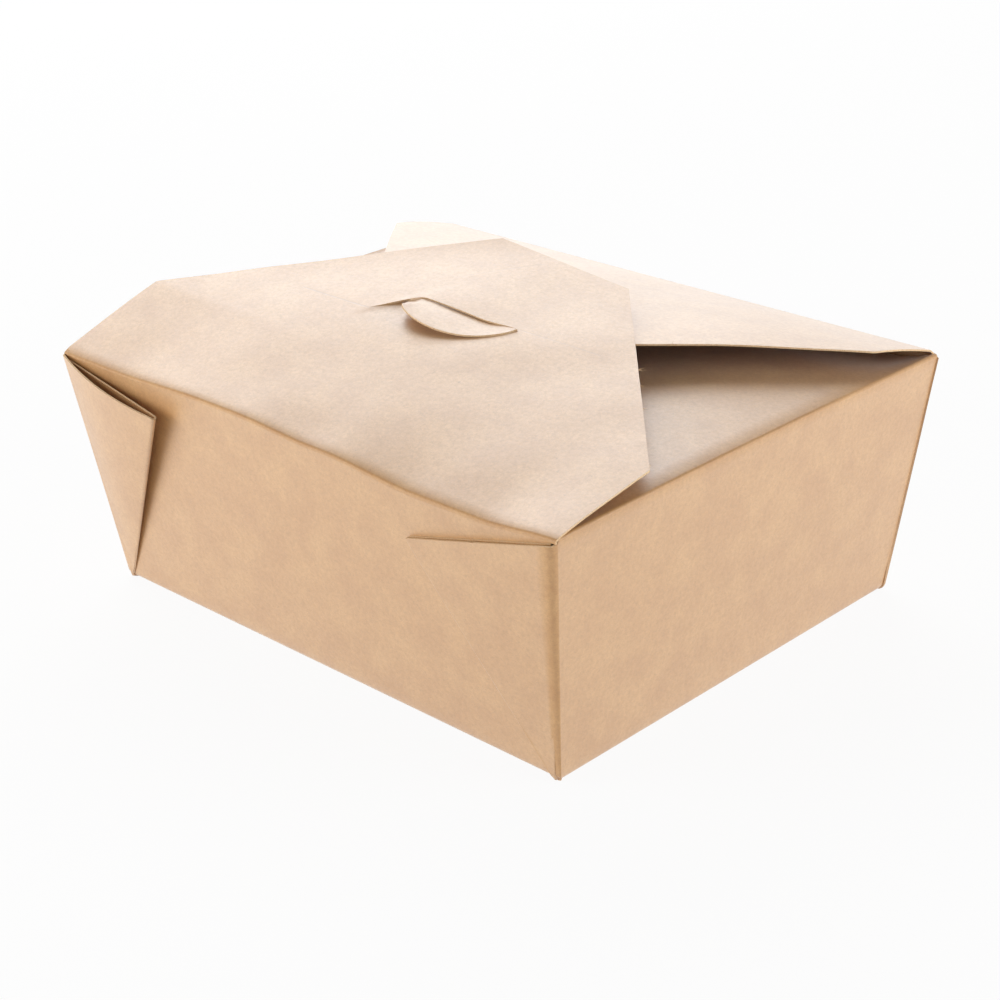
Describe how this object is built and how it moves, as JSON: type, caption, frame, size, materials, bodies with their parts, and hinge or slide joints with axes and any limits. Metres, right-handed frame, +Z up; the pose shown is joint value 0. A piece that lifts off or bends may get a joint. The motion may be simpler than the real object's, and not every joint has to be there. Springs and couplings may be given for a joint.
{
  "type": "takeaway box",
  "caption": "Folded kraft board takeaway box with sloping walls, folded web corners and four top flaps, closed by a tongue through a slit.",
  "frame": {"origin": "middle of the base's underside, on the surface that the box stands on", "axes": "+Z up, +X along the long walls, -Y towards the wall whose flap lies outermost"},
  "size_m": [0.172, 0.1502, 0.0842],
  "materials": {
    "kraft_board": "matte"
  },
  "bodies": {
    "tray": {"tray": "kraft_board"},
    "front_flap": {"front_flap": "kraft_board"},
    "back_flap": {"back_flap": "kraft_board"}
  },
  "joints": [
    {"name": "front_flap_fold", "type": "hinge", "parent": "tray", "child": "front_flap", "pos_m": [0, -0.072, 0.0655], "axis": [1, 0, 0], "range_deg": [0, 165]},
    {"name": "back_flap_fold", "type": "hinge", "parent": "tray", "child": "back_flap", "pos_m": [0, 0.072, 0.0655], "axis": [-1, 0, 0], "range_deg": [0, 105]}
  ],
  "couplings": [
    {"joint": "back_flap_fold", "follows": "front_flap_fold", "ratio": 0.62}
  ]
}
